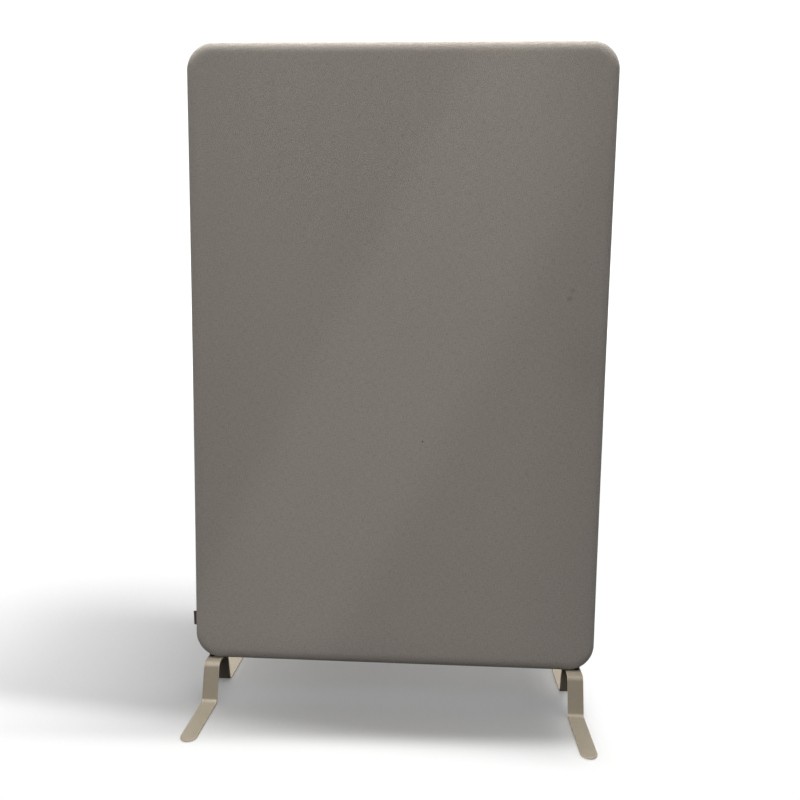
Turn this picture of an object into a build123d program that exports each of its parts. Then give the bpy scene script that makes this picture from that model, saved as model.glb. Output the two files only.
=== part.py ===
import os
from math import sqrt

from build123d import *

# A free-standing acoustic divider screen: a fabric-covered padded panel with rounded corners,
# standing on two feet bent from flat steel bar.
# X runs along the panel's width, Y through its thickness, Z up. The front face looks to -Y.
# The origin is on the floor, under the middle of the panel.

# Panel as seen from the front
panel_width = 1000.0
panel_height = 1495.0
corner_radius = 65.0
side_draw_in = 2.0  # how far each long side bows inward at half height

# Layers through the thickness
core_depth = 25.0
foam_thickness = 6.0
fabric_thickness = 1.2
edge_radius = 17.0  # rounding from the face to the edge, measured on the cloth
soft_gap = 0.3  # clearance round soft pieces

# Timber frame
frame_inset = 8.0  # from the panel's outline to the frame's
member_width = 45.0
cross_rail_width = 35.0
corner_block_size = 95.0
board_gap = 0.3  # clearance round each absorber board

# Dowels in the frame's joints
dowel_radius = 4.0
dowel_length = 40.0
dowel_spacing = 20.0  # between the two dowels of one joint
cross_dowel_spacing = 16.0
glue_gap = 0.1

# Feet, bent from flat bar
bar_width = 38.0
bar_thickness = 5.0
foot_inset = 49.0  # from the panel's side to the middle of a foot
foot_length = 456.0
foot_rise = 90.0  # from the bar on the floor to the bar under the panel
plate_span = 71.0  # between the upper bends, on the bar's middle line
knee_span = 121.0  # between the lower bends, on the bar's middle line
plate_bend_radius = 13.0  # on the bar's middle line
knee_bend_radius = 12.0  # on the bar's middle line
bar_edge_radius = 0.8

# Glides under the feet
glide_thickness = 2.0
glide_length = 130.0
glide_margin = 4.0  # from the bar's edge to the glide's

# Screws, washers, spacers and inserts that hold each foot
screw_spacing = 20.0
screw_radius = 3.0
thread_engagement = 10.0  # of each screw in its insert
screw_head_radius = 5.25
screw_head_height = 3.3
screw_head_rounding = 1.6
screw_socket_across_flats = 4.0
screw_socket_depth = 2.0
screw_clearance = 0.3
washer_radius = 6.2
washer_thickness = 1.2
spacer_radius = 7.0
seat_margin = 0.5  # wood left round each spacer's flat seat
insert_radius = 4.8
insert_length = 13.0
insert_flange_radius = 6.4
insert_flange_thickness = 1.5
thread_gap = 0.1
pocket_radius = 7.5

# Tag sewn into the left side seam
tag_height = 36.0
tag_reach = 8.0  # beyond the panel's side
tag_thickness = 1.0
tag_centre_height = 99.0  # above the panel's lowest point
tag_gap = 0.1

# Sizes that follow
panel_depth = core_depth + 2 * (foam_thickness + soft_gap + fabric_thickness)
foot_height = glide_thickness + bar_thickness + foot_rise
panel_bottom = foot_height
panel_middle = panel_bottom + panel_height / 2
foot_x = panel_width / 2 - foot_inset
screw_places = [side * foot_x + step * screw_spacing / 2 for side in (-1, 1) for step in (-1, 1)]
plate_underside = foot_height - bar_thickness
pocket_overhang = corner_radius - foot_inset + screw_spacing / 2 + pocket_radius
wood_corner_radius = corner_radius - frame_inset
spacer_length = corner_radius - sqrt(wood_corner_radius**2 - pocket_overhang**2) + seat_margin
screw_length = washer_thickness + bar_thickness + spacer_length + thread_engagement
wood_seat = foot_height + spacer_length
frame_width = panel_width - 2 * frame_inset
frame_height = panel_height - 2 * frame_inset
frame_low = panel_bottom + frame_inset
frame_high = frame_low + frame_height
bay_width = frame_width - 2 * member_width
bay_low = frame_low + member_width
bay_high = frame_high - member_width
cross_rail_heights = [bay_low + third * (bay_high - bay_low) / 3 for third in (1, 2)]


def standing_block(width, depth, low, high, x=0.0, y=0.0):
    """A block between two heights, centred on x and y."""
    block = Box(width, depth, high - low, align=(Align.CENTER, Align.CENTER, Align.MIN))
    return Pos(x, y, low) * block


def upright_rod(radius, low, high, x=0.0):
    """A round rod along Z between two heights."""
    rod = Cylinder(radius, high - low, align=(Align.CENTER, Align.CENTER, Align.MIN))
    return Pos(x, 0, low) * rod


def front_view(outline):
    """A flat outline stood up on the panel's mid-plane, at the panel's height."""
    return Plane.XZ * (Pos(0, panel_middle, 0) * outline)


def padded_outline(inset):
    """The panel's front view, set in all round: straight ends and sides that bow inward."""
    half_width = panel_width / 2 - inset
    half_height = panel_height / 2 - inset
    waist = half_width - side_draw_in
    corners = [(-half_width, -half_height), (half_width, -half_height),
               (half_width, half_height), (-half_width, half_height)]
    edges = [
        Line(corners[0], corners[1]),
        ThreePointArc(corners[1], (waist, 0), corners[2]),
        Line(corners[2], corners[3]),
        ThreePointArc(corners[3], (-waist, 0), corners[0]),
    ]
    outline = make_face(edges)
    return fillet(outline.vertices(), corner_radius - inset)


def padded_half(inset):
    """The front half of the padded body, set in all round, from the seam to the rounded face."""
    half = extrude(front_view(padded_outline(inset)), amount=panel_depth / 2 - inset)
    face = half.faces().sort_by(Axis.Y)[0]
    return fillet(face.edges(), edge_radius - inset)


def frame_outline(grow):
    """The timber frame's outline seen from the front, with rounded corners."""
    return RectangleRounded(frame_width + 2 * grow, frame_height + 2 * grow,
                            wood_corner_radius + grow)


def through_panel(outline, depth):
    """A front view made solid, centred on the panel's mid-plane."""
    return extrude(front_view(outline), amount=depth / 2, both=True)


def rear_of(front):
    """The same piece turned to the rear of the panel."""
    return mirror(front, about=Plane.XZ)


def named(shape, label):
    """Gives a piece its name."""
    shape.label = label
    return shape


# Holes that the screws and spacers need through the cover and the edge foam
def spacer_holes():
    radius = spacer_radius + soft_gap
    return [upright_rod(radius, foot_height - spacer_length, wood_seat, x) for x in screw_places]


# Fabric cover, in two halves that meet in a seam round the middle of the edge
def tag_block(gap):
    low = panel_bottom + tag_centre_height - tag_height / 2 - gap
    reach = tag_reach + 2 * side_draw_in + 2 * fabric_thickness
    centre = -panel_width / 2 - tag_reach + reach / 2
    return standing_block(reach, tag_thickness + 2 * gap, low, low + tag_height + 2 * gap, centre)


def make_cover():
    front = padded_half(0) - padded_half(fabric_thickness)
    for hole in spacer_holes():
        front -= hole
    return front - tag_block(tag_gap)


def make_tag():
    return tag_block(0) - (padded_half(fabric_thickness) + rear_of(padded_half(fabric_thickness)))


# Foam under the fabric
def make_face_foam():
    depth = foam_thickness
    slab = standing_block(panel_width, depth, panel_bottom, panel_bottom + panel_height,
                          y=-(core_depth + depth) / 2)
    return padded_half(fabric_thickness + soft_gap) & slab


def make_edge_foam():
    front = padded_half(fabric_thickness + soft_gap)
    band = (front + rear_of(front)) & standing_block(
        panel_width, core_depth, panel_bottom, panel_bottom + panel_height)
    band -= through_panel(frame_outline(soft_gap), core_depth)
    for hole in spacer_holes():
        band -= hole
    return band


# Timber frame: four corner blocks, two stiles, top and bottom rails, two cross rails
def frame_ring():
    window = Rectangle(bay_width, bay_high - bay_low)
    return through_panel(frame_outline(0) - window, core_depth)


def make_corner_block(side, top):
    centre_x = side * (frame_width - corner_block_size) / 2
    low = frame_high - corner_block_size if top else frame_low
    block = frame_ring() & standing_block(
        corner_block_size, core_depth, low, low + corner_block_size, centre_x)
    for hole in dowels(glue_gap):
        block -= hole
    if not top:
        for x in screw_places:
            block -= upright_rod(pocket_radius, frame_low, wood_seat, x)
            block -= upright_rod(insert_flange_radius + glue_gap, wood_seat,
                                 wood_seat + insert_flange_thickness + glue_gap, x)
            block -= upright_rod(insert_radius + glue_gap, wood_seat,
                                 wood_seat + insert_length + glue_gap, x)
            block -= upright_rod(screw_radius + screw_clearance, wood_seat,
                                 wood_seat + thread_engagement + screw_clearance, x)
    return block


def drilled(member):
    for hole in dowels(glue_gap):
        member -= hole
    return member


def make_stile(side):
    centre_x = side * (frame_width - member_width) / 2
    return drilled(standing_block(member_width, core_depth, frame_low + corner_block_size,
                                  frame_high - corner_block_size, centre_x))


def make_end_rail(low):
    return drilled(standing_block(frame_width - 2 * corner_block_size, core_depth,
                                  low, low + member_width))


def make_cross_rail(height):
    low = height - cross_rail_width / 2
    return drilled(standing_block(bay_width, core_depth, low, low + cross_rail_width))


def dowels(gap):
    """All the frame's dowels, or with a gap the holes that they are glued into."""
    rod = Cylinder(dowel_radius + gap, dowel_length + 2 * gap)
    lying = Rot(0, 90, 0) * rod
    rods = []
    for side in (-1, 1):
        stile_x = side * (frame_width - member_width) / 2
        rail_x = side * (frame_width / 2 - corner_block_size)
        for step in (-1, 1):
            shift = step * dowel_spacing / 2
            for z in (frame_low + corner_block_size, frame_high - corner_block_size):
                rods.append(Pos(stile_x + shift, 0, z) * rod)
            for z in (frame_low + member_width / 2, frame_high - member_width / 2):
                rods.append(Pos(rail_x, 0, z + shift) * lying)
            for z in cross_rail_heights:
                rods.append(Pos(side * bay_width / 2, 0, z + step * cross_dowel_spacing / 2) * lying)
    return rods


# Absorber boards in the three bays
def make_board(low, high):
    board = standing_block(bay_width - 2 * board_gap, core_depth, low + board_gap, high - board_gap)
    return board


# Feet
def bar_profile():
    """The bar's side view: flat under the panel, down two splayed legs, flat along the floor."""
    floor_line = glide_thickness + bar_thickness / 2
    plate_line = foot_height - bar_thickness / 2
    middle_line = FilletPolyline(
        (-foot_length / 2, floor_line), (-knee_span / 2, floor_line),
        (-plate_span / 2, plate_line), (plate_span / 2, plate_line),
        (knee_span / 2, floor_line), (foot_length / 2, floor_line),
        radius=[knee_bend_radius, plate_bend_radius, plate_bend_radius, knee_bend_radius],
    )
    return trace(middle_line, bar_thickness)


def make_foot(side):
    bar = extrude(Plane.YZ * bar_profile(), amount=bar_width / 2, both=True)
    plan = SlotOverall(foot_length, bar_width, rotation=90)
    bar = bar & extrude(plan, amount=foot_height)
    across = bar.edges().filter_by(Axis.X)
    upright = bar.edges().filter_by(Axis.Z)
    bar = fillet(bar.edges() - across - upright, bar_edge_radius)
    bar = Pos(side * foot_x, 0, 0) * bar
    for x in screw_places:
        bar -= upright_rod(screw_radius + screw_clearance, plate_underside, foot_height, x)
    return bar


def make_glide(side, end):
    width = bar_width - 2 * glide_margin
    centre_y = end * (foot_length / 2 - glide_margin - glide_length / 2)
    pad = extrude(SlotOverall(glide_length, width, rotation=90), amount=glide_thickness)
    return Pos(side * foot_x, centre_y, 0) * pad


# Fasteners
def make_screw(x):
    seat = plate_underside - washer_thickness
    head = upright_rod(screw_head_radius, seat - screw_head_height, seat, x)
    head = fillet(head.edges().sort_by(Axis.Z)[0], screw_head_rounding)
    socket_radius = screw_socket_across_flats / 2
    socket = extrude(RegularPolygon(socket_radius, 6, major_radius=False),
                     amount=screw_socket_depth)
    head -= Pos(x, 0, seat - screw_head_height) * socket
    return head + upright_rod(screw_radius, seat, seat + screw_length, x)


def make_washer(x):
    disc = upright_rod(washer_radius, plate_underside - washer_thickness, plate_underside, x)
    hole = upright_rod(screw_radius + screw_clearance, plate_underside - washer_thickness,
                       plate_underside, x)
    return disc - hole


def make_spacer(x):
    sleeve = upright_rod(spacer_radius, foot_height, wood_seat, x)
    return sleeve - upright_rod(screw_radius + screw_clearance, foot_height, wood_seat, x)


def make_insert(x):
    body = upright_rod(insert_radius, wood_seat, wood_seat + insert_length, x)
    flange = upright_rod(insert_flange_radius, wood_seat, wood_seat + insert_flange_thickness, x)
    bore = upright_rod(screw_radius + thread_gap, wood_seat, wood_seat + insert_length, x)
    return body + flange - bore


def group(pieces):
    """Identical pieces kept as separate solids in one node."""
    return Compound(children=list(pieces))


def make_nodes():
    cover = make_cover()
    face_foam = make_face_foam()
    half_rail = cross_rail_width / 2
    lower_rail, upper_rail = cross_rail_heights
    nodes = {
        "front_cover": cover,
        "rear_cover": rear_of(cover),
        "side_tag": make_tag(),
        "front_foam": face_foam,
        "rear_foam": rear_of(face_foam),
        "edge_foam": make_edge_foam(),
        "lower_absorber_board": make_board(bay_low, lower_rail - half_rail),
        "middle_absorber_board": make_board(lower_rail + half_rail, upper_rail - half_rail),
        "upper_absorber_board": make_board(upper_rail + half_rail, bay_high),
        "bottom_rail": make_end_rail(frame_low),
        "top_rail": make_end_rail(frame_high - member_width),
        "lower_cross_rail": make_cross_rail(lower_rail),
        "upper_cross_rail": make_cross_rail(upper_rail),
        "frame_dowels": group(dowels(0)),
        "foot_screws": group(make_screw(x) for x in screw_places),
        "foot_washers": group(make_washer(x) for x in screw_places),
        "foot_spacers": group(make_spacer(x) for x in screw_places),
        "threaded_inserts": group(make_insert(x) for x in screw_places),
    }
    for side, side_name in ((-1, "left"), (1, "right")):
        nodes[f"{side_name}_stile"] = make_stile(side)
        nodes[f"bottom_{side_name}_corner_block"] = make_corner_block(side, top=False)
        nodes[f"top_{side_name}_corner_block"] = make_corner_block(side, top=True)
        nodes[f"{side_name}_foot"] = make_foot(side)
        nodes[f"{side_name}_front_glide"] = make_glide(side, -1)
        nodes[f"{side_name}_rear_glide"] = make_glide(side, 1)
    return nodes


os.makedirs("parts", exist_ok=True)
for name, shape in make_nodes().items():
    export_step(named(shape, name), f"parts/{name}.step")
    print(name, "volume", round(shape.volume))
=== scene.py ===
import bmesh
import bpy
import numpy as np
from mathutils import Matrix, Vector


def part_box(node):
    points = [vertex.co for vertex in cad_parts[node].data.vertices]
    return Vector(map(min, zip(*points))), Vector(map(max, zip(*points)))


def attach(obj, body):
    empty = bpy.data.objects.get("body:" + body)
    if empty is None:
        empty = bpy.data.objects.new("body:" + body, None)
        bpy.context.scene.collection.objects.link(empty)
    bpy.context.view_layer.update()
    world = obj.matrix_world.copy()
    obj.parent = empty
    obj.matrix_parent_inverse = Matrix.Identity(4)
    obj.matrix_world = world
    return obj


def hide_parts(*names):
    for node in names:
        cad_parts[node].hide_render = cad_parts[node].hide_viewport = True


# A free-standing acoustic divider screen: cloth over a padded timber frame, on two bent bar feet.
# X runs along the panel, Y through it, Z up; the front face looks to -Y. Sizes are in metres.

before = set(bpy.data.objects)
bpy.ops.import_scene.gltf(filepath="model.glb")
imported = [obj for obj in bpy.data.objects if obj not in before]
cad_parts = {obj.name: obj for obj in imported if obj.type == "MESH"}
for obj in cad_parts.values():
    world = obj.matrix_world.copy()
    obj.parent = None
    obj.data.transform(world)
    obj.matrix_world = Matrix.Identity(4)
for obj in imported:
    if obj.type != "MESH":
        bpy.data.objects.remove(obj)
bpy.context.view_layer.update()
print("frame loaded:", len(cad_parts), "nodes")

panel = {
    "width": 1.000,
    "height": 1.495,
    "bottom": 0.097,
    "corner": 0.065,  # corner radius seen from the front
    "drawIn": 0.002,  # how far each long side bows inward at half height
    "depth": 0.040,
    "rim": 0.003,  # half the straight part of the edge, beside the seam
    "softEdge": 0.031,  # how far the rounding reaches over the face
    "softPower": 2.4,  # above 2, the rounding starts more gently on the face
    "core": 0.025,  # timber depth, without foam and cloth
}
panelMiddle = panel["bottom"] + panel["height"] / 2
panelOutline = (panel["width"] / 2, panel["height"] / 2, panel["corner"])


def edgeCurve(t, inset=0.0):
    # the rounding from the rim (t = 0) to the face (t = 1) as (inset, out) pairs: a stretched
    # circle whose inset term has a power above two, set in along its normal by a given distance
    angle = np.clip(np.asarray(t, float), 0, 1) * np.pi / 2
    across, deep, power = panel["softEdge"], panel["depth"] / 2 - panel["rim"], panel["softPower"]
    cos, sin = np.cos(angle), np.sin(angle)
    left = cos ** (2 / power)
    slopeAcross, slopeOut = left ** (power - 1) / across * power, 2 * sin / deep
    length = np.hypot(slopeAcross, slopeOut)
    return np.stack([across * (1 - left) + inset * slopeAcross / length,
                     panel["rim"] + deep * sin - inset * slopeOut / length], axis=1)


def outlineColumns(halfWidth, halfHeight, corner, pitch, arcSteps):
    # columns round a rounded rectangle: each has an anchor on the rectangle left when the corner
    # radius is taken off, and an outward direction that turns a quarter circle at each corner
    across, up = halfWidth - corner, halfHeight - corner
    signs = [(1, -1), (1, 1), (-1, 1), (-1, -1)]
    anchors, directions = [], []
    for number, (signX, signZ) in enumerate(signs):
        start = np.array([signX * across, signZ * up])
        nextX, nextZ = signs[(number + 1) % 4]
        stop = np.array([nextX * across, nextZ * up])
        angle = np.linspace(0, np.pi / 2, arcSteps + 1) + (number - 1) * np.pi / 2
        anchors.append(np.repeat(start[None], arcSteps + 1, axis=0))
        directions.append(np.stack([np.cos(angle), np.sin(angle)], axis=1))
        length = np.linalg.norm(stop - start)
        steps = max(1, int(round(length / pitch)))
        share = (np.arange(1, steps) / steps)[:, None]
        anchors.append(start + (stop - start) * share)
        directions.append(np.repeat(directions[-1][-1:], steps - 1, axis=0))
    return np.concatenate(anchors), np.concatenate(directions)


def carryRound(halfWidth, halfHeight, corner, profile, pitch, arcSteps):
    # a profile of (inset, out) pairs carried round the outline: up to the corner radius a point is
    # its anchor plus what is left of the radius, and past it the anchor slides to the middle line
    anchor, direction = outlineColumns(halfWidth, halfHeight, corner, pitch, arcSteps)
    inset, out = np.array(profile, float).T
    narrow = min(halfWidth, halfHeight)
    spare = np.array([halfWidth - narrow, halfHeight - narrow])
    middleLine = np.clip(anchor, -spare, spare)
    left = np.clip(corner - inset, 0, None)[:, None, None]
    slide = (np.clip(inset - corner, 0, None) / max(narrow - corner, 1e-9))[:, None, None]
    flat = anchor + direction * left + (middleLine - anchor) * slide
    points = np.concatenate([flat, np.broadcast_to(out[:, None, None], flat.shape[:2] + (1,))], 2)
    # the cut pattern: the same point when the profile is unrolled outward from the corner radius
    step = np.hypot(np.diff(inset), np.diff(out))
    along = np.concatenate([[0], np.cumsum(step)])
    hinge = along[np.argmin(np.abs(inset - corner))]
    unrolled = np.where(inset < corner, hinge - along, 0)[:, None, None]
    pattern = anchor + direction * unrolled + (middleLine - anchor) * slide
    return points, pattern


def bowSides(points, halfWidth, halfHeight):
    # each width is multiplied by one minus the draw-in, which is greatest at half height
    height = points[..., 1] / halfHeight
    points[..., 0] *= 1 - panel["drawIn"] * (1 - np.clip(height**2, 0, 1)) / halfWidth
    return points


def standUp(points, middle):
    # (across, up, out) becomes (X, Y, Z) with the outside of the front towards -Y
    return np.stack([points[..., 0], -points[..., 2], points[..., 1] + middle], axis=-1)


def gridFaces(rows, cols, wrap=True):
    # each cell of a grid of points becomes a four-sided face
    last = cols if wrap else cols - 1
    r, c = np.meshgrid(np.arange(rows - 1), np.arange(last), indexing="ij")
    n = (c + 1) % cols
    return np.stack([r * cols + c, r * cols + n, (r + 1) * cols + n, (r + 1) * cols + c],
                    axis=-1).reshape(-1, 4)


def makePiece(name, points, faces, pattern=None, weld=1e-6, flip=False):
    # puts whole arrays of points and four-sided faces in a mesh, and welds what meets
    points = np.ascontiguousarray(points.reshape(-1, 3), np.float32)
    faces = np.ascontiguousarray(faces[:, ::-1] if flip else faces, np.int32)
    mesh = bpy.data.meshes.new(name)
    mesh.vertices.add(len(points))
    mesh.vertices.foreach_set("co", points.ravel())
    mesh.loops.add(faces.size)
    mesh.loops.foreach_set("vertex_index", faces.ravel())
    mesh.polygons.add(len(faces))
    mesh.polygons.foreach_set("loop_start", np.arange(0, faces.size, 4, dtype=np.int32))
    if pattern is not None:
        flat = pattern.reshape(-1, 2)[faces.ravel()].astype(np.float32)
        mesh.uv_layers.new(name="clothPlan").data.foreach_set("uv", flat.ravel())
    mesh.update(calc_edges=True)
    mesh.validate()
    if weld:
        work = bmesh.new()
        work.from_mesh(mesh)
        bmesh.ops.remove_doubles(work, verts=work.verts, dist=weld)
        bmesh.ops.dissolve_degenerate(work, edges=work.edges, dist=weld)
        work.to_mesh(mesh)
        work.free()
    mesh.shade_smooth()
    piece = bpy.data.objects.new(name, mesh)
    bpy.context.scene.collection.objects.link(piece)
    return piece


def settle(piece, finish, slot, *nodes):
    # gives a piece its finish and its body, and hides the solids that it stands for
    piece.data.materials.clear()
    piece.data.materials.append(finish)
    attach(piece, "root")
    if nodes:
        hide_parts(*nodes)
    return piece


def ripple(seed, *parts):
    # a smooth uneven wave: sines of each coordinate at given rates, with seeded phases
    phases = np.random.default_rng(seed).uniform(0, 2 * np.pi, len(parts))
    return sum(np.sin(part + phase) for part, phase in zip(parts, phases)) / len(parts)


def newFinish(name, roughness, specular=0.5, metallic=0.0):
    finish = bpy.data.materials.new(name)
    finish.use_nodes = True
    shader = finish.node_tree.nodes["Principled BSDF"]
    shader.inputs["Roughness"].default_value = roughness
    shader.inputs["Specular IOR Level"].default_value = specular
    shader.inputs["Metallic"].default_value = metallic
    return finish, finish.node_tree, shader


def addNode(tree, kind, inputs=None, **settings):
    # a node with its settings, and inputs that are values or other nodes' outputs
    node = tree.nodes.new(kind)
    for key, value in settings.items():
        setattr(node, key, value)
    for key, value in (inputs or {}).items():
        if isinstance(value, bpy.types.NodeSocket):
            tree.links.new(value, node.inputs[key])
        else:
            node.inputs[key].default_value = value
    return node


def placeOf(tree, scale=(1, 1, 1), onCloth=False):
    # object coordinates, or the cloth's own cut pattern, stretched by scale
    source = addNode(tree, "ShaderNodeTexCoord").outputs["UV" if onCloth else "Object"]
    return addNode(tree, "ShaderNodeMapping", {"Vector": source, "Scale": scale}).outputs["Vector"]


def noise(tree, place, scale, detail=2.0, roughness=0.5, distortion=0.0):
    return addNode(tree, "ShaderNodeTexNoise", {
        "Vector": place, "Scale": scale, "Detail": detail, "Roughness": roughness,
        "Distortion": distortion}).outputs["Fac"]


def waves(tree, place, scale, distortion, detail=1.0, detailScale=1.0, **settings):
    return addNode(tree, "ShaderNodeTexWave", {
        "Vector": place, "Scale": scale, "Distortion": distortion, "Detail": detail,
        "Detail Scale": detailScale}, **settings).outputs["Fac"]


def maths(tree, operation, first, second=0.0, third=0.0):
    return addNode(tree, "ShaderNodeMath", {0: first, 1: second, 2: third},
                   operation=operation).outputs["Value"]


def mapRange(tree, value, fromRange, toRange, kind="LINEAR"):
    # carries a value from one range over to another, straight or by a smooth step
    return addNode(tree, "ShaderNodeMapRange", {
        "Value": value, "From Min": fromRange[0], "From Max": fromRange[1],
        "To Min": toRange[0], "To Max": toRange[1]}, interpolation_type=kind).outputs["Result"]


def tint(tree, factor, low, high, colours):
    # turns a factor into a colour between two colours, from low to high
    ramp = addNode(tree, "ShaderNodeValToRGB", {"Fac": factor})
    ramp.color_ramp.elements[0].position = low
    ramp.color_ramp.elements[1].position = high
    ramp.color_ramp.elements[0].color = (*colours[0], 1)
    ramp.color_ramp.elements[1].color = (*colours[1], 1)
    return ramp.outputs["Color"]


def mixColours(tree, factor, first, second, blend="MIX"):
    # lays the second colour over the first by a factor
    return addNode(tree, "ShaderNodeMix", {0: factor, 6: first, 7: second},
                   data_type="RGBA", blend_type=blend).outputs[2]


def times(tree, first, second):
    return mixColours(tree, 1.0, first, second, "MULTIPLY")


def dress(tree, shader, colour, roughness=None):
    # joins a colour, and a roughness where it varies, to the shader
    tree.links.new(colour, shader.inputs["Base Color"])
    if roughness is not None:
        tree.links.new(roughness, shader.inputs["Roughness"])


def addBump(tree, shader, height, distance, strength, under=None):
    # bump from a height, on top of another bump
    inputs = {"Height": height, "Distance": distance, "Strength": strength}
    if under is not None:
        inputs["Normal"] = under
    bump = addNode(tree, "ShaderNodeBump", inputs).outputs["Normal"]
    tree.links.new(bump, shader.inputs["Normal"])
    return bump


# Finishes
cloth = {
    "colour": (0.226, 0.204, 0.181),
    "darkYarn": (0.118, 0.105, 0.093),
    "fading": ((0.975, 0.978, 0.98), (1.016, 1.01, 1.0)),  # broad patches of worn colour
    "yarn": 0.0011,  # from one warp yarn to the next, and how far they wander
    "slub": (70, 900),  # how often a yarn thickens along itself, and from one to the next
    "weaveHeight": 0.00022,
    "roughness": (0.88, 1.0),
    "sheen": {"Sheen Weight": 0.12, "Sheen Roughness": 0.6},
    "faceFrom": -0.0195,  # the dark patches, painted shade among them, lie on the front face, past this Y
    "darkPatches": (  # painted shade of a shallow dent (two dark arcs), a dark speck, and a broad darker patch that is partly stain and partly painted shade: X, Z, reach, share of colour left
        # painted shade of a shallow dent in the cloth, as two dark arcs round a lighter middle
        (0.411, 1.031, 0.0090, 0.80),
        (0.405, 1.011, 0.0100, 0.77),
        (0.067, 0.666, 0.0032, 0.10),
        # a broad darker patch, partly stain and partly painted shade
        (0.440, 0.850, 0.1100, 0.95),
    ),
}


def makeClothFinish():
    # plain weave: the product of a sine across and a sine along, with uneven yarns and flecks, and
    # dark patches of which some are painted shade
    finish, tree, shader = newFinish("coverCloth", cloth["roughness"][1], 0.25)
    plan = placeOf(tree, onCloth=True)
    wander = addNode(tree, "ShaderNodeTexNoise", {"Vector": plan, "Scale": 90.0, "Detail": 2.0})
    drift = addNode(tree, "ShaderNodeVectorMath",
                    {0: wander.outputs["Color"], "Scale": cloth["yarn"]},
                    operation="SCALE").outputs["Vector"]
    wavy = addNode(tree, "ShaderNodeVectorMath", {0: plan, 1: drift}, operation="ADD")
    split = addNode(tree, "ShaderNodeSeparateXYZ", {"Vector": wavy.outputs["Vector"]})
    rate = 2 * np.pi / cloth["yarn"]
    warp = maths(tree, "SINE", maths(tree, "MULTIPLY", split.outputs["X"], rate))
    weft = maths(tree, "SINE", maths(tree, "MULTIPLY", split.outputs["Y"], rate))
    weave = maths(tree, "MULTIPLY", warp, weft)
    along, across = cloth["slub"]
    slub = maths(tree, "ADD",
                 noise(tree, placeOf(tree, (along, across, 1), True), 1.0, 2.0),
                 noise(tree, placeOf(tree, (across, along, 1), True), 1.0, 2.0))
    fleck = noise(tree, plan, 420.0, 3.0, 0.65)
    broad = noise(tree, placeOf(tree, (2.2, 1.6, 1), True), 1.0, 3.0)
    mixed = maths(tree, "MULTIPLY_ADD", slub, 0.5, maths(tree, "MULTIPLY", fleck, 0.9))
    colour = tint(tree, mixed, 0.62, 1.28, (cloth["darkYarn"], cloth["colour"]))
    colour = times(tree, colour, tint(tree, broad, 0.3, 0.7, cloth["fading"]))
    colour = times(tree, colour, tint(tree, weave, -0.2, 1.0, ((0.86,) * 3, (1.06,) * 3)))
    spot = placeOf(tree)
    parts = addNode(tree, "ShaderNodeSeparateXYZ", {"Vector": spot})
    front = maths(tree, "LESS_THAN", parts.outputs["Y"], cloth["faceFrom"])
    # darkens the front cloth at each patch: painted shade of a dent, a dark speck, and a broad
    # patch that is partly painted shade
    for x, z, reach, left in cloth["darkPatches"]:
        far = addNode(tree, "ShaderNodeVectorMath", {0: spot, 1: (x, -panel["depth"] / 2, z)},
                      operation="DISTANCE").outputs["Value"]
        uneven = maths(tree, "MULTIPLY_ADD", noise(tree, spot, 120.0, 2.0), reach, far)
        speckAndShadeMask = mapRange(tree, uneven, (reach * 0.5, reach * 1.5), (1.0, 0.0), "SMOOTHSTEP")
        speckAndShadeMask = maths(tree, "MULTIPLY", speckAndShadeMask, front)
        colour = mixColours(tree, speckAndShadeMask, colour, times(tree, colour, (left, left, left, 1)))
    dress(tree, shader, colour, mapRange(tree, fleck, (0, 1), cloth["roughness"]))
    for key, value in cloth["sheen"].items():
        shader.inputs[key].default_value = value
    addBump(tree, shader, maths(tree, "MULTIPLY_ADD", fleck, 0.8, weave), cloth["weaveHeight"], 0.7)
    return finish


def makeRibbonFinish(name, colour, other):
    # fine ribs across a folded ribbon
    finish, tree, shader = newFinish(name, 0.8, 0.3)
    ribs = waves(tree, placeOf(tree), 330.0, 0.6, wave_type="BANDS", bands_direction="Z")
    speckle = noise(tree, placeOf(tree), 700.0)
    mixed = maths(tree, "MULTIPLY_ADD", speckle, 0.5, ribs)
    dress(tree, shader, tint(tree, mixed, 0.2, 1.3, (other, colour)))
    shader.inputs["Sheen Weight"].default_value = 0.1
    addBump(tree, shader, ribs, 0.0002, 0.6)
    return finish


coating = {
    "colours": ((0.224, 0.193, 0.147), (0.242, 0.209, 0.159)),  # between these in broad patches
    "metallic": 0.25,
    "grain": 900.0,
    "peel": 520.0,
    "rubbed": (30, 260, 30),  # marks of handling run across the bar
    "roughness": (0.40, 0.54),
}


def makeCoatingFinish():
    # satin powder coat: fine grain over orange peel, a little pearl, faint marks of handling
    finish, tree, shader = newFinish("footCoating", 0.42, 0.5, coating["metallic"])
    place = placeOf(tree)
    grain = noise(tree, place, coating["grain"], 3.0)
    colour = tint(tree, noise(tree, place, 14.0, 3.0), 0.3, 0.7, coating["colours"])
    colour = times(tree, colour, tint(tree, grain, 0.3, 0.7, ((0.86,) * 3, (1.1,) * 3)))
    rub = noise(tree, placeOf(tree, coating["rubbed"]), 1.0, 3.0)
    dress(tree, shader, colour, mapRange(tree, rub, (0.3, 0.7), coating["roughness"]))
    peel = addBump(tree, shader, noise(tree, place, coating["peel"]), 0.00006, 0.5)
    addBump(tree, shader, grain, 0.00003, 0.4, peel)
    return finish


woodStretch = {"X": (0.35, 9, 9), "Z": (9, 9, 0.35)}  # long along the member's own axis
woodPores = ((0.80, 0.77, 0.74), (1.04, 1.03, 1.02))


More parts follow.
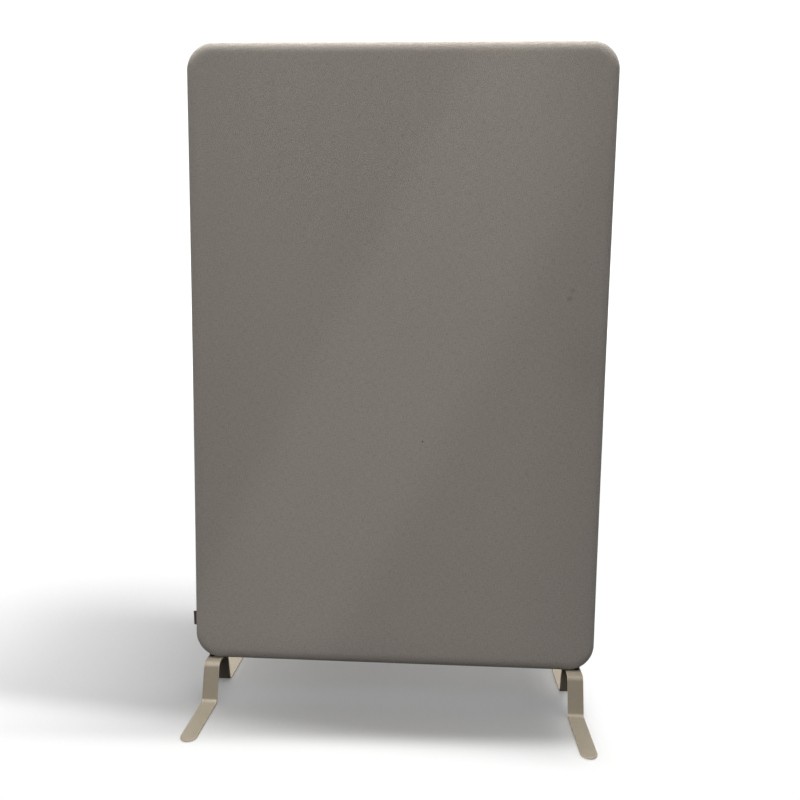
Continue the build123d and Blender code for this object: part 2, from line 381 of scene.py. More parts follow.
def makeTimberFinish(name, axis, early, late):
    # growth rings stretched along the member, with pores and a few darker streaks
    finish, tree, shader = newFinish(name, 0.62, 0.3)
    stretch = woodStretch[axis]
    rings = waves(tree, placeOf(tree, stretch), 3.0, 5.5, 3.0, 0.9,
                  wave_type="RINGS", rings_direction=axis, wave_profile="SAW")
    pores = noise(tree, placeOf(tree, tuple(40 * part for part in stretch)), 1.0, 3.0, 0.7)
    colour = tint(tree, rings, 0.1, 0.95, (early, late))
    colour = times(tree, colour, tint(tree, pores, 0.3, 0.75, woodPores))
    dress(tree, shader, colour, mapRange(tree, pores, (0, 1), (0.5, 0.75)))
    addBump(tree, shader, maths(tree, "MULTIPLY_ADD", pores, 0.7, rings), 0.0003, 0.35)
    return finish


def makePlyFinish():
    # thin plies one behind another through the thickness, light and dark in turn
    finish, tree, shader = newFinish("cornerPlywood", 0.6, 0.3)
    plies = waves(tree, placeOf(tree), 112.0, 0.5, wave_type="BANDS", bands_direction="Y")
    grain = noise(tree, placeOf(tree, (9, 60, 130)), 1.0, 4.0, 0.6)
    colour = tint(tree, plies, 0.35, 0.65, ((0.42, 0.29, 0.17), (0.66, 0.51, 0.34)))
    streaks = tint(tree, grain, 0.3, 0.75, ((0.84, 0.81, 0.77), woodPores[1]))
    dress(tree, shader, times(tree, colour, streaks))
    addBump(tree, shader, maths(tree, "MULTIPLY_ADD", grain, 0.6, plies), 0.0002, 0.4)
    return finish


def makeCellFinish(name, light, dark, cell, bumpHeight):
    # open cells: a cellular pattern at a given size, with a soft mottle
    finish, tree, shader = newFinish(name, 0.95, 0.2)
    place = placeOf(tree)
    cells = addNode(tree, "ShaderNodeTexVoronoi",
                    {"Vector": place, "Scale": 1 / cell}).outputs["Distance"]
    mottle = tint(tree, noise(tree, place, 60.0, 3.0), 0.3, 0.7, ((0.93,) * 3, (1.04,) * 3))
    dress(tree, shader, times(tree, tint(tree, cells, 0.05, 0.6, (light, dark)), mottle))
    addBump(tree, shader, cells, bumpHeight, 0.8)
    return finish


def makeFeltFinish(name, light, dark, fibre):
    # crossing fibres: the highest of two stretched noises at right angles and a third, upright one
    finish, tree, shader = newFinish(name, 0.97, 0.15)
    one, two, three = (
        noise(tree, placeOf(tree, tuple(part / fibre for part in stretch)), 0.25, 2.0, 0.6, wander)
        for stretch, wander in (((1, 14, 14), 0.4), ((14, 1, 14), 0.4), ((8, 8, 2), 0.8)))
    fibres = maths(tree, "MAXIMUM", maths(tree, "MAXIMUM", one, two), three)
    dress(tree, shader, tint(tree, fibres, 0.42, 0.72, (dark, light)))
    shader.inputs["Sheen Weight"].default_value = 0.2
    addBump(tree, shader, fibres, 0.0004, 0.7)
    return finish


def makeMetalFinish(name, colour, patch, roughness, bumpHeight=0.00003):
    # plated or turned metal: fine turning lines, patchy plating and small scuffs
    finish, tree, shader = newFinish(name, roughness, 0.5, 1.0)
    patches = noise(tree, placeOf(tree), 260.0, 3.0)
    lines = noise(tree, placeOf(tree, (200, 200, 5200)), 1.0)
    dress(tree, shader, tint(tree, patches, 0.35, 0.68, (patch, colour)),
          mapRange(tree, lines, (0.3, 0.7), (roughness - 0.08, roughness + 0.1)))
    addBump(tree, shader, lines, bumpHeight, 0.5)
    return finish


pine = ((0.70, 0.52, 0.31), (0.50, 0.32, 0.15))  # early and late wood
coverCloth = makeClothFinish()
tagRibbon = makeRibbonFinish("tagRibbon", (0.060, 0.036, 0.034), (0.026, 0.016, 0.016))
seamThread = makeRibbonFinish("seamThread", (0.190, 0.172, 0.152), (0.120, 0.108, 0.096))
footCoating = makeCoatingFinish()
pineAlong = makeTimberFinish("pineAlong", "X", *pine)
pineUpright = makeTimberFinish("pineUpright", "Z", *pine)
beechDowel = makeTimberFinish("beechDowel", "X", (0.72, 0.53, 0.36), (0.58, 0.39, 0.24))
cornerPlywood = makePlyFinish()
paleFoam = makeCellFinish("paleFoam", (0.80, 0.77, 0.70), (0.45, 0.43, 0.38), 0.0013, 0.0006)
absorberFelt = makeFeltFinish("absorberFelt", (0.62, 0.63, 0.63), (0.40, 0.41, 0.42), 0.004)
glideFelt = makeFeltFinish("glideFelt", (0.17, 0.16, 0.15), (0.07, 0.065, 0.06), 0.0016)
zincSteel = makeMetalFinish("zincSteel", (0.62, 0.62, 0.61), (0.50, 0.50, 0.52), 0.32)
blackSteel = makeMetalFinish("blackSteel", (0.035, 0.034, 0.033), (0.02, 0.02, 0.021), 0.45)
turnedBrass = makeMetalFinish("turnedBrass", (0.78, 0.60, 0.30), (0.66, 0.49, 0.23), 0.3)
print("finishes made:", len(bpy.data.materials))


# Cloth cover: two halves that meet in a sewn seam round the middle of the edge
cover = {
    "thickness": 0.0012,
    "pitch": 0.0045,  # between columns of the mesh round the outline
    "arcSteps": 24,
    "arcShares": (0, 0.09, 0.19, 0.29, 0.39, 0.49, 0.59, 0.69, 0.78, 0.86, 0.925, 0.97, 1),
    "faceInsets": (0.036, 0.042, 0.050, 0.065, 0.085, 0.11, 0.14, 0.18, 0.22, 0.26, 0.30, 0.34,
                   0.38, 0.42, 0.46, 0.50),
    "seamDip": 0.0014,  # how far the cloth turns in at the seam
    "seamTurn": ((1, 0.00015), (0.45, 0.0005), (0.12, 0.0012), (0, 0.0021)),  # share of dip, out
    "seeds": (7, 11),  # for the front and the rear
    "gather": 0.00022,  # height of the small gathers round the corners
    "gatherRates": (700, 431, 167, 59),  # of the waves along the outline
    "gatherAt": (0.002, 0.007),  # where over the edge they are highest, and how far they reach
    "gatherStraight": 0.35,  # their share on the straight sides
    "gatherRise": 0.03,  # the way in which they grow towards a corner
    "sag": 0.00028,  # how far the stretched face lies back at most
    "sagFrom": (0.045, 0.18),  # by the distance from the outline
    "sagRates": ((7, 3), (-4, 5), (11, 8), (0, 13)),  # of its waves, across and up
    "flatSize": (1.026, 1.521),
    "holeRadius": 0.0076,  # round each spacer under the panel
    "holeReach": 0.03,
    "holes": (-0.461, -0.441, 0.441, 0.461),
}


def coverProfile():
    # from the seam over the rounded edge to the middle of the face, as (inset, out) pairs
    seam = [(cover["seamDip"] * share, out) for share, out in cover["seamTurn"]]
    face = [(inset, panel["depth"] / 2) for inset in cover["faceInsets"]]
    return np.concatenate([seam, edgeCurve(cover["arcShares"]), face])


def makeCover(name, rear):
    halfWidth, halfHeight, corner = panelOutline
    profile = coverProfile()
    points, pattern = carryRound(*panelOutline, profile, cover["pitch"], cover["arcSteps"])
    # gathers: a short wave along the seam that fades towards the face, and is strongest in corners
    outline = points[len(cover["seamTurn"]), :, :2]
    along = np.concatenate([[0], np.cumsum(np.hypot(*np.diff(outline, axis=0).T))])
    seed = cover["seeds"][rear]
    wave = ripple(seed, *(along * rate for rate in cover["gatherRates"]))
    straight = np.array([halfWidth, halfHeight]) - corner
    inCorner = np.clip((np.abs(outline) - straight) / cover["gatherRise"], 0, 1).prod(axis=1)
    highest, reach = cover["gatherAt"]
    out = points[..., 2]
    fade = np.exp(-(((out - highest) / reach) ** 2)) * (out < panel["depth"] / 2 - 0.0001)
    lift = cover["gather"] * wave * (cover["gatherStraight"] + inCorner) * fade
    outward = outline - np.clip(outline, -straight, straight)
    outward /= np.linalg.norm(outward, axis=1, keepdims=True)
    points[..., :2] -= outward[None] * np.abs(lift)[..., None]
    # the stretched face is a touch uneven, more so away from the edge, and never past the flat
    start, stop = cover["sagFrom"]
    inward = np.clip((profile[:, :1] - start) / (stop - start), 0, 1)
    x, z = points[..., 0], points[..., 1]
    uneven = 1 + ripple(seed + 1, *(across * x + up * z for across, up in cover["sagRates"]))
    points[..., 2] -= cover["sag"] / 2 * uneven * inward**2 * (3 - 2 * inward)
    points = standUp(bowSides(points, halfWidth, halfHeight), panelMiddle)
    if rear:
        points[..., 1] *= -1
    rows, cols = points.shape[:2]
    faces = gridFaces(rows, cols)
    # holes for the spacers: points inside a hole move out to its rim, and faces left inside go
    flatPoints = points.reshape(-1, 3)
    inside = np.zeros(len(flatPoints), bool)
    for holeX in cover["holes"]:
        away = flatPoints[:, :2] - [holeX, 0]
        far = np.linalg.norm(away, axis=1)
        caught = (far < cover["holeRadius"]) & (
            flatPoints[:, 2] < panel["bottom"] + cover["holeReach"])
        scale = cover["holeRadius"] / np.maximum(far[caught], 1e-5)
        flatPoints[caught, :2] = [holeX, 0] + away[caught] * scale[:, None]
        inside |= caught
    faces = faces[~inside[faces].all(axis=1)]
    piece = makePiece(name, flatPoints, faces, pattern, flip=rear)
    wall = piece.modifiers.new("clothThickness", "SOLIDIFY")
    wall.thickness = cover["thickness"]
    wall.offset = -1
    return piece


frontCover = settle(makeCover("frontCover", False), coverCloth, "cover_fabric", "front_cover")
rearCover = settle(makeCover("rearCover", True), coverCloth, "cover_fabric", "rear_cover")
print("covers made:", len(frontCover.data.polygons) * 2, "faces")


# Thread of the seam, one short stitch across it at each step
stitch = {
    "pitch": 0.0045,
    "radius": 0.00022,
    "reach": 0.0011,  # to each side of the seam
    "slant": 0.0007,
    "inset": 0.0006,
    "bow": 1.2,  # height of its middle, in radii
    "endDip": 0.0002,
    "taper": 0.985,  # towards its ends, where 1 would close them
    "sides": 5,
    "rings": 5,
    "plates": (0.451, 0.021),  # no stitch shows over the feet: their middle and half their width
}


def makeStitches():
    # each stitch is a bowed tube: its middle line goes across the seam, its ends dip into the cloth
    halfWidth, halfHeight, corner = panelOutline
    anchor, direction = outlineColumns(*panelOutline, stitch["pitch"], cover["arcSteps"])
    base = anchor + direction * (corner - stitch["inset"])
    tangent = np.stack([-direction[:, 1], direction[:, 0]], axis=1)
    aboveTag = base[:, 1] + panelMiddle - tag["middle"]
    nearTag = (base[:, 0] < 0) & (np.abs(aboveTag) < tag["height"] / 2)
    plate, half = stitch["plates"]
    overPlate = (base[:, 1] < 0) & (np.abs(np.abs(base[:, 0]) - plate) < half)
    keep = ~nearTag & ~overPlate
    base, direction, tangent = base[keep], direction[keep], tangent[keep]
    t = np.linspace(-1, 1, stitch["rings"])
    turn = np.linspace(0, 2 * np.pi, stitch["sides"], endpoint=False)
    thick = stitch["radius"] * np.sqrt(np.clip(1 - (t * stitch["taper"]) ** 2, 0.02, 1))
    lift = stitch["radius"] * stitch["bow"] * (1 - t**2) - stitch["endDip"] * t**2
    out = lift[:, None] + thick[:, None] * np.cos(turn)
    side = stitch["slant"] * t[:, None] + thick[:, None] * np.sin(turn)
    across = np.repeat((t * stitch["reach"])[:, None], len(turn), axis=1)
    flat = (base[:, None, None, :] + direction[:, None, None, :] * out[None, :, :, None]
            + tangent[:, None, None, :] * side[None, :, :, None])
    across = np.broadcast_to(across[None, :, :, None], flat.shape[:3] + (1,))
    points = bowSides(np.concatenate([flat, across], axis=3), halfWidth, halfHeight)
    first = np.arange(len(base)) * across[0].size
    faces = (gridFaces(*across.shape[1:3])[None] + first[:, None, None]).reshape(-1, 4)
    return makePiece("seamStitches", standUp(points, panelMiddle), faces, weld=0)


# Tag: a ribbon folded in two and caught in the left seam
tag = {
    "height": 0.036,
    "middle": 0.196,
    "outer": -0.508,
    "inner": -0.4965,
    "lean": 0.0011,  # how much further in the fold stands at the bottom
    "layer": 0.00045,
    "bulge": 0.00028,
    "apart": 0.00002,  # half the gap between the legs where they are closest
    "fold": 0.06,  # the share of each leg that the fold takes up
    "reach": 0.97,  # the share of the length that a leg covers
    "wave": (0.00025, 9),  # height and rate, from bottom to top
    "steps": (13, 41),
    "flatSize": (0.036, 0.0245),
}


def makeTag():
    # the ribbon's path goes out, round a small fold and back; its two legs bow apart a little
    rows, cols = tag["steps"]
    t = np.linspace(-1, 1, cols)
    length = tag["inner"] - tag["outer"]
    s = np.abs(t)
    leg = np.clip(s - tag["fold"], 0, None) / (1 - tag["fold"]) * tag["reach"]
    x = tag["outer"] + tag["layer"] / 2 + length * leg
    gap = tag["layer"] / 2 + tag["apart"] + tag["bulge"] * np.sin(np.pi * s) ** 2
    y = np.sign(t) * gap * np.sqrt(np.clip(s / tag["fold"], 0, 1))
    v = np.linspace(-0.5, 0.5, rows)[:, None]
    height, rate = tag["wave"]
    wave = height * np.sin(v * rate) * (1 - np.clip((x - tag["outer"]) / length, 0, 1))
    z = tag["middle"] + v * tag["height"] + 0 * x
    leaning = x + tag["lean"] * (0.5 - v) * np.clip((tag["inner"] - x) / length, 0, 1)
    points = np.stack([leaning, y + wave, z], axis=-1)
    pattern = np.stack([t * length + 0 * z, z], axis=-1)
    piece = makePiece("sideTag", points, gridFaces(rows, cols, wrap=False), pattern)
    wall = piece.modifiers.new("ribbonThickness", "SOLIDIFY")
    wall.thickness = tag["layer"]
    wall.offset = 0
    return piece


seamStitches = settle(makeStitches(), seamThread, "cover_fabric")
sideTag = settle(makeTag(), tagRibbon, "tag_fabric", "side_tag")
print("seam and tag made")


# Foam under the cloth, and the absorber boards in the frame's bays
foam = {
    "inset": 0.0015,  # the cloth and its clearance
    "out": 0.0185,
    "innerInsets": (0.5, 0.4, 0.28, 0.16, 0.065, 0.03),
    "innerRim": 0.0008,
    "outerInsets": (0.036, 0.065, 0.16, 0.28, 0.4, 0.5),
    "bandInset": 0.0077,  # where the edge foam lies on the timber
    "pitch": 0.02,
    "arcSteps": 12,
}


def softArc(low, high, count):
    # the cover's rounding, set in by the foam's inset, between two distances out
    t = np.linspace(0, 1, 2001)
    fine = edgeCurve(t, foam["inset"])
    start, stop = np.interp([low, high], fine[:, 1], t)
    return edgeCurve(np.linspace(start, stop, count), foam["inset"])


def faceFoamProfile():
    # from the middle of the inner side out to the edge, round it and back to the middle outside
    core = panel["core"] / 2
    arc = softArc(core, foam["out"], 9)
    innerInsets = foam["innerInsets"] + (arc[0][0] + foam["innerRim"],)
    return np.concatenate([[(inset, core) for inset in innerInsets], arc,
                           [(inset, foam["out"]) for inset in foam["outerInsets"]]])


def edgeFoamProfile():
    # out round the soft edge, and back along the timber, as one closed loop
    core = panel["core"] / 2
    upper = softArc(panel["rim"], core, 6)[::-1]
    inner = [(foam["bandInset"], out) for out in (-core, 0.0, core)]
    return np.concatenate([inner, upper, upper[::-1] * [1, -1]])


def makeRound(name, outline, profile, pitch, arcSteps, middle, bowed=True, rear=False, ring=False):
    # a closed body whose profile is carried round the outline and stood up
    points, _ = carryRound(*outline, profile, pitch, arcSteps)
    if bowed:
        points = bowSides(points, *outline[:2])
    points = standUp(points, middle)
    if rear:
        points[..., 1] *= -1
    rows, cols = points.shape[:2]
    if ring:
        points = np.concatenate([points, points[:1]])
        rows += 1
    return makePiece(name, points, gridFaces(rows, cols), flip=rear)


frontFoam, rearFoam, edgeFoam = (
    settle(makeRound(f"{place}Foam", panelOutline, profile, foam["pitch"], foam["arcSteps"],
                     panelMiddle, rear=place == "rear", ring=place == "edge"),
           paleFoam, "foam", f"{place}_foam")
    for place, profile in (("front", faceFoamProfile()), ("rear", faceFoamProfile()),
                           ("edge", edgeFoamProfile())))


# Boards: each fills its bay, with a small corner radius and softened edges
board = {"corner": 0.003, "rounding": 0.0025, "pitch": 0.03, "arcSteps": 4}


def boardProfile(halfNarrow, deep, rounding):
    # from the middle of one side, round a soft edge, to the middle of the other
    angle = np.linspace(-np.pi / 2, np.pi / 2, 9)
    arc = np.stack([rounding - rounding * np.cos(angle),
                    (deep - rounding) * np.sign(angle) + rounding * np.sin(angle)], axis=1)
    insets = np.array([1.0, 0.7, 0.4, 0.15]) * halfNarrow
    return np.concatenate([[(inset, -deep) for inset in insets], arc,
                           [(inset, deep) for inset in insets[::-1]]])


for place in ("lower", "middle", "upper"):
    low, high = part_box(f"{place}_absorber_board")
    halfWidth, halfHeight = (high.x - low.x) / 2, (high.z - low.z) / 2
    piece = makeRound(f"{place}AbsorberBoard", (halfWidth, halfHeight, board["corner"]),
                      boardProfile(halfHeight, panel["core"] / 2, board["rounding"]),
                      board["pitch"], board["arcSteps"], (low.z + high.z) / 2, bowed=False)
    settle(piece, absorberFelt, "absorber", f"{place}_absorber_board")
print("foam and boards made")


# Felt glides under the feet
glide = {
    "thickness": 0.002,
    "rounding": 0.0006,
    "pitch": 0.006,
    "arcSteps": 12,
    "seed": 5,
    "fuzz": 0.00004,  # how far the upper side lies back unevenly
    "fuzzRates": (900, 700, 1300),
}


def makeGlide(name, node):
    # a stadium outline with softened rims, lying on the floor
    low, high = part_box(node)
    halfWidth, halfLength = (high.x - low.x) / 2, (high.y - low.y) / 2
    deep = glide["thickness"] / 2
    profile = boardProfile(halfWidth, deep, glide["rounding"])
    points, _ = carryRound(halfWidth, halfLength, halfWidth, profile, glide["pitch"],
                           glide["arcSteps"])
    fuzz = ripple(glide["seed"], *(points[..., axis] * rate
                                   for axis, rate in enumerate(glide["fuzzRates"])))
    points[..., 2] -= glide["fuzz"] * np.abs(fuzz) * (points[..., 2] > 0)
    points += [(low.x + high.x) / 2, (low.y + high.y) / 2, deep]
    return makePiece(name, points, gridFaces(*points.shape[:2]))


glides = []
for side in ("left", "right"):
    for end in ("front", "rear"):
        node = f"{side}_{end}_glide"
        glides.append(settle(makeGlide(f"{side}{end.capitalize()}Glide", node), glideFelt,
                             "glide_felt", node))
print("glides made")


# Solids that stay, each with its own finish
keptNodes = {
    "left_foot": footCoating, "right_foot": footCoating,
    "left_stile": pineUpright, "right_stile": pineUpright,
    "bottom_rail": pineAlong, "top_rail": pineAlong,
    "lower_cross_rail": pineAlong, "upper_cross_rail": pineAlong,
    "bottom_left_corner_block": cornerPlywood, "bottom_right_corner_block": cornerPlywood,
    "top_left_corner_block": cornerPlywood, "top_right_corner_block": cornerPlywood,
    "frame_dowels": beechDowel, "foot_screws": zincSteel, "foot_washers": zincSteel,
    "foot_spacers": blackSteel, "threaded_inserts": turnedBrass,
}
for name, finish in keptNodes.items():
    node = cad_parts[name]
    if not node.material_slots:
        node.data.materials.append(finish)
    for place in node.material_slots:
        place.material = finish
print("solids dressed:", len(keptNodes))


# Studio: a pale floor that turns up into a backdrop, soft lamps and the camera
studio = {
    "floorColour": 0.86,
    "halfWidth": 9.0,
    "front": -6.0,
    "back": 5.0,
    "bend": 2.0,
    "wall": 5.0,
    "steps": {"across": 10, "floor": 8, "bend": 24, "wall": 5},
}


def makeSweep():
    # a profile of floor, quarter circle and wall, carried from left to right
    steps, bend = studio["steps"], studio["bend"]
    angle = np.linspace(0, np.pi / 2, steps["bend"])[1:]
    rise = np.linspace(0, studio["wall"], steps["wall"])[1:]
    y = np.concatenate([np.linspace(studio["front"], studio["back"], steps["floor"]),
                        studio["back"] + bend * np.sin(angle),
                        np.full(len(rise), studio["back"] + bend)])
    z = np.concatenate([np.zeros(steps["floor"]), bend * (1 - np.cos(angle)), bend + rise])
    x = np.linspace(-studio["halfWidth"], studio["halfWidth"], steps["across"])
    points = np.stack([x + 0 * y[:, None], y[:, None] + 0 * x, z[:, None] + 0 * x], axis=-1)
    return makePiece("studioFloor", points, gridFaces(len(y), len(x), wrap=False))


sweep = makeSweep()
paper, paperTree, paperShader = newFinish("studioPaper", 0.9, 0.1)
paperShade = noise(paperTree, placeOf(paperTree), 0.6)
dress(paperTree, paperShader, tint(paperTree, paperShade, 0.3, 0.7, (
    (studio["floorColour"],) * 3, (studio["floorColour"] + 0.01,) * 3)))
sweep.data.materials.append(paper)
sweep.visible_diffuse = sweep.visible_glossy = False  # the paper gives the object no light


# Three flags that no view shows, each in the light of one sun. The floor's is high over the screen
# and shades the floor, most under the screen, and less behind it and to its left. The window's
# stands behind the camera and lets light through to the panel, most in a slanting band and less
# towards the panel's sides and foot. The tips' keeps a low sun on the tips of the feet off the legs
# behind them. Each edge of the first two is a place and half the width over which it fades.
floorShade = {
    "height": 2.1,
    "low": (-1.9, -0.6),
    "high": (0.9, 1.3),
    "under": dict(left=(-0.648, 0.559), right=(0.458, 0.036), front=(-0.189, 0.040), turn=0.052,
                  back=(0.470, 0.117), share=0.587),
    "wide": dict(left=(-1.229, 0.334), right=(0.450, 0.106), front=(-0.186, 0.062), turn=-0.117,
                 back=(0.637, 0.267), share=0.413),
}
windowBand = {
    "place": -3.0,
    "low": (-0.7, 0.05),
    "high": (0.7, 1.7),
    "slant": 26.6,  # degrees from upright
    "middle": 0.85,  # the height where the band's edges are measured
    "left": (-0.176, 0.047),
    "right": (0.190, 0.060),
    "glow": 0.60,  # the share of the light that also falls beside the band
    "leftSide": (-0.49, 0.25),
    "rightSide": (0.42, 0.18),
    "sill": (0.12, 0.05),
}
tipShade = {"place": -0.13, "low": (-0.7, 0.0), "high": (0.7, 0.25)}


def fadeEdge(tree, value, edge, rises=1):
    # a smooth step between nought and one across an edge
    middle, half = edge
    return mapRange(tree, value, (middle - half, middle + half), (1 - rises, rises), "SMOOTHSTEP")


def shadedPart(tree, x, y, left, right, front, turn, back, share):
    # the product of four smooth steps, one for each edge, times its share
    alongFront = maths(tree, "MULTIPLY_ADD", x, -turn, y)
    density = share
    for value, edge, rises in ((x, left, 1), (x, right, 0), (alongFront, front, 1), (y, back, 0)):
        density = maths(tree, "MULTIPLY", fadeEdge(tree, value, edge, rises), density)
    return density


def newFlagCloth(name):
    # a finish for a flag, with the coordinates of its places
    finish, tree, _ = newFinish(name, 1.0)
    return finish, tree, addNode(tree, "ShaderNodeSeparateXYZ", {"Vector": placeOf(tree)}).outputs


def makeFlag(name, points, density, tree, finish):
    # one flat sheet whose cloth stops the light by its density, seen by nothing but its own sun
    clear = addNode(tree, "ShaderNodeBsdfTransparent").outputs[0]
    black = addNode(tree, "ShaderNodeBsdfDiffuse", {"Color": (0, 0, 0, 1)}).outputs[0]
    both = addNode(tree, "ShaderNodeMixShader", {0: density, 1: clear, 2: black})
    tree.links.new(both.outputs[0], tree.nodes["Material Output"].inputs["Surface"])
    sheet = makePiece(name, points, gridFaces(3, 3, wrap=False))
    sheet.data.materials.append(finish)
    sheet.visible_camera = sheet.visible_diffuse = sheet.visible_glossy = False
    sheet.visible_transmission = False
    return sheet


def sheetGrid(facts):
    # three by three places between a flag's low and high corners
    return np.meshgrid(*[np.linspace(a, b, 3) for a, b in zip(facts["low"], facts["high"])])


def makeFloorFlag():
    finish, tree, place = newFlagCloth("floorFlagCloth")
    parts = [shadedPart(tree, place["X"], place["Y"], **floorShade[part])
             for part in ("under", "wide")]
    x, y = sheetGrid(floorShade)
    points = np.stack([x, y, 0 * x + floorShade["height"]], axis=-1)
    return makeFlag("floorFlag", points, maths(tree, "ADD", *parts), tree, finish)


def makeWindowFlag():
    # the distance across the band is X times the cosine of its slant less the height times its sine
    finish, tree, place = newFlagCloth("windowFlagCloth")
    slant, glow = np.radians(windowBand["slant"]), windowBand["glow"]
    up = maths(tree, "MULTIPLY_ADD", place["Z"], -np.sin(slant),
               windowBand["middle"] * np.sin(slant))
    across = maths(tree, "MULTIPLY_ADD", place["X"], np.cos(slant), up)
    band = maths(tree, "MULTIPLY", fadeEdge(tree, across, windowBand["left"]),
                 fadeEdge(tree, across, windowBand["right"], rises=0))
    beside = maths(tree, "MULTIPLY", fadeEdge(tree, place["X"], windowBand["leftSide"]), glow)
    let = maths(tree, "MULTIPLY_ADD", band, 1 - glow, beside)
    let = maths(tree, "MULTIPLY", let, fadeEdge(tree, place["X"], windowBand["rightSide"], rises=0))
    let = maths(tree, "MULTIPLY", let, fadeEdge(tree, place["Z"], windowBand["sill"]))
    x, z = sheetGrid(windowBand)
    points = np.stack([x, 0 * x + windowBand["place"], z], axis=-1)
    return makeFlag("windowFlag", points, maths(tree, "SUBTRACT", 1.0, let), tree, finish)


def makeTipFlag():
    finish, tree, _ = newFlagCloth("tipFlagCloth")
    x, z = sheetGrid(tipShade)
    points = np.stack([x, 0 * x + tipShade["place"], z], axis=-1)
    return makeFlag("tipFlag", points, 1.0, tree, finish)


floorFlag, windowFlag, tipFlag = makeFloorFlag(), makeWindowFlag(), makeTipFlag()


def linkedTo(name, state, *objects):
    # a collection that a lamp lights, or is blocked by, with only these or with all but these
    group = bpy.data.collections.new(name)
    for member in objects:
        group.objects.link(member)
    for entry in group.collection_objects:
        entry.light_linking.link_state = state
    return group


feetPieces = glides + [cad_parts[name] for name in (
    "left_foot", "right_foot", "foot_spacers", "foot_screws", "foot_washers")]
lit = {  # what a lamp can light
    "stage": linkedTo("onlyStage", "INCLUDE", sweep),
    "panel": linkedTo("onlyPanel", "EXCLUDE", sweep, *feetPieces),
    "feet": linkedTo("onlyFeet", "INCLUDE", *feetPieces),
}
onlyFloorFlag = linkedTo("onlyFloorFlag", "INCLUDE", floorFlag)
onlyWindowFlag = linkedTo("onlyWindowFlag", "INCLUDE", windowFlag)
onlyTipFlag = linkedTo("onlyTipFlag", "INCLUDE", tipFlag)
noFlag = linkedTo("noFlag", "EXCLUDE", floorFlag, windowFlag, tipFlag)


def aimed(place, aim):
    # a lamp's matrix: its back looks away from the aim, and its right lies level
    back = np.array(place, float) - aim
    back /= np.linalg.norm(back)
    right = np.cross([0.0, 0.001, 1.0], back)
    right /= np.linalg.norm(right)
    matrix = np.eye(4)
    matrix[:3, :3] = np.stack([right, np.cross(back, right), back], axis=1)
    matrix[:3, 3] = place
    return Matrix(matrix.tolist())


def hang(name, data, place, aim, on, blockedBy):
    # stands a light where it is, for one group of pieces and in the shade of another
    lamp = bpy.data.objects.new(name, data)
    bpy.context.scene.collection.objects.link(lamp)
    lamp.matrix_world = aimed(place, aim)
    lamp.light_linking.receiver_collection = lit[on]
    lamp.light_linking.blocker_collection = blockedBy
    return lamp


def makeLamp(name, power, place, size, on, colour=(1, 1, 1), shine=True):
    # a rectangular soft lamp, with or without its reflection in what it lights
    data = bpy.data.lights.new(name, "AREA")
    data.shape = "RECTANGLE"
    data.size, data.size_y = size
    data.energy, data.color = power, colour
    hang(name, data, place, lampAims[on], on, noFlag).visible_glossy = shine


def makeSun(name, strength, place, softness, on, blockedBy=noFlag):
    # parallel light from the direction of its place
    data = bpy.data.lights.new(name, "SUN")
    data.energy, data.angle = strength * np.pi, np.radians(softness)
    hang(name, data, place, (0, 0, 0), on, blockedBy)


lampAims = {"panel": (0, 0, 0.8), "feet": (0, 0, 0)}
warm = (1.0, 0.985, 0.95)
lamps = {
    "topBackLamp": dict(power=315, place=(0, 0.5, 4), size=(2.4, 1), on="panel", colour=warm),
    "topFrontLamp": dict(power=100, place=(0, -0.22, 4), size=(2.4, 1), on="panel", colour=warm),
    "frontLamp": dict(power=92, place=(-0.5, -4.6, 1.9), size=(2.4, 2.4), on="panel", shine=False),
    "rearLamp": dict(power=110, place=(1.2, 4.5, 1.4), size=(2.4, 2.4), on="panel", shine=False),
    "footTopBackLamp": dict(power=52, place=(-0.2, 0.5, 4), size=(2.4, 1), on="feet"),
    "footTopLamp": dict(power=69, place=(-0.4, -0.35, 3.2), size=(1.6, 0.8), on="feet",
                        shine=False),
    "footTopFrontLamp": dict(power=51, place=(-0.3, -1, 3), size=(1.6, 0.8), on="feet"),
    "footTopFrontSoftLamp": dict(power=22, place=(-0.3, -1, 3), size=(1.6, 0.8), on="feet",
                                 shine=False),
    "footFrontLamp": dict(power=65, place=(-0.9, -3.3, 2.8), size=(2, 0.8), on="feet"),
    "footRearLamp": dict(power=124, place=(0, 1.6, 2.6), size=(2, 0.8), on="feet"),
}
for name, facts in lamps.items():
    makeLamp(name, **facts)
suns = {
    "steepSun": dict(strength=0.50, place=(0, -1, 2.1), softness=25, on="panel"),
    "highSun": dict(strength=0.13, place=(0, -1, 0.8), softness=25, on="panel"),
    "windowSun": dict(strength=0.232, place=(0, -1, 0), softness=1, on="panel",
                      blockedBy=onlyWindowFlag),
    "footRightSun": dict(strength=1.3, place=(1, 0, 0.1), softness=16, on="feet"),
    "footLeftSun": dict(strength=1.0, place=(-1, 0, 0.1), softness=16, on="feet"),
    "footTipSun": dict(strength=1.1, place=(0, -1, 0.05), softness=8, on="feet",
                       blockedBy=onlyTipFlag),
    "rearSun": dict(strength=0.16, place=(0.3, 1, 0.5), softness=25, on="panel"),
    "floorSun": dict(strength=0.775, place=(0, 0, 1), softness=1, on="stage",
                     blockedBy=onlyFloorFlag),
    "floorFill": dict(strength=0.245, place=(0.4, -0.2, 1), softness=90, on="stage",
                      blockedBy=lit["feet"]),
    "wallLamp": dict(strength=1.2, place=(0, -1, 0), softness=20, on="stage",
                     blockedBy=lit["stage"]),
}
for name, facts in suns.items():
    makeSun(name, **facts)

air = {"above": 0.16, "below": 0.02, "rise": (-0.12, 0.12)}  # soft light round the screen


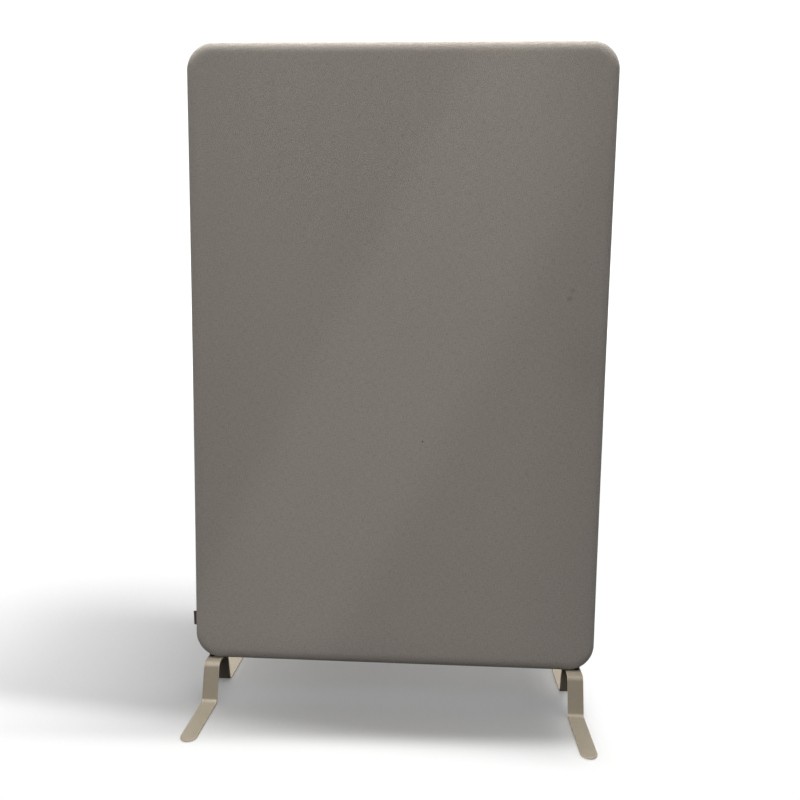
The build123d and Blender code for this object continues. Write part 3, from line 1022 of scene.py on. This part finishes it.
def makeAir():
    # pale above the horizon and dark below it for the pieces, and plain white for the camera
    world = bpy.data.worlds.new("studioWorld")
    bpy.context.scene.world = world
    world.use_nodes = True
    tree = world.node_tree
    way = addNode(tree, "ShaderNodeTexCoord").outputs["Generated"]
    up = addNode(tree, "ShaderNodeSeparateXYZ", {"Vector": way}).outputs["Z"]
    strength = mapRange(tree, up, air["rise"], (air["below"], air["above"]), "SMOOTHSTEP")
    soft = addNode(tree, "ShaderNodeBackground",
                   {"Color": (1, 1, 1, 1), "Strength": strength}).outputs[0]
    plain = tree.nodes["Background"]
    plain.inputs["Color"].default_value = (1, 1, 1, 1)
    seen = addNode(tree, "ShaderNodeLightPath").outputs["Is Camera Ray"]
    both = addNode(tree, "ShaderNodeMixShader", {0: seen, 1: soft, 2: plain.outputs[0]})
    tree.links.new(both.outputs[0], tree.nodes["World Output"].inputs["Surface"])


makeAir()
bpy.context.scene.view_settings.view_transform = "Standard"

viewpoint = {
    "place": (0.09452, -1.72189, 0.95084),
    "lens": 32.15,
    "yaw": 0.0490,
    "pitch": 0.1082,
    "roll": 0.0142,
}


def makeCamera():
    # turned about Z by the yaw, then about its own level axis by the pitch, then rolled
    (cy, sy), (cp, sp), (cr, sr) = ((np.cos(viewpoint[turn]), np.sin(viewpoint[turn]))
                                    for turn in ("yaw", "pitch", "roll"))
    level = np.array([[1, 0, 0], [0, 0, -1], [0, 1, 0]])
    yaw = np.array([[cy, sy, 0], [-sy, cy, 0], [0, 0, 1]])
    pitch = np.array([[1, 0, 0], [0, cp, -sp], [0, sp, cp]])
    roll = np.array([[cr, -sr, 0], [sr, cr, 0], [0, 0, 1]])
    right, down, forward = roll @ pitch @ level @ yaw
    matrix = np.eye(4)
    matrix[:3, :3] = np.stack([right, -down, -forward], axis=1)
    matrix[:3, 3] = viewpoint["place"]
    data = bpy.data.cameras.new("photoCamera")
    data.sensor_width = 36.0
    data.lens = viewpoint["lens"]
    camera = bpy.data.objects.new("photoCamera", data)
    bpy.context.scene.collection.objects.link(camera)
    camera.matrix_world = Matrix(matrix.tolist())
    bpy.context.scene.camera = camera


makeCamera()
print("studio made")
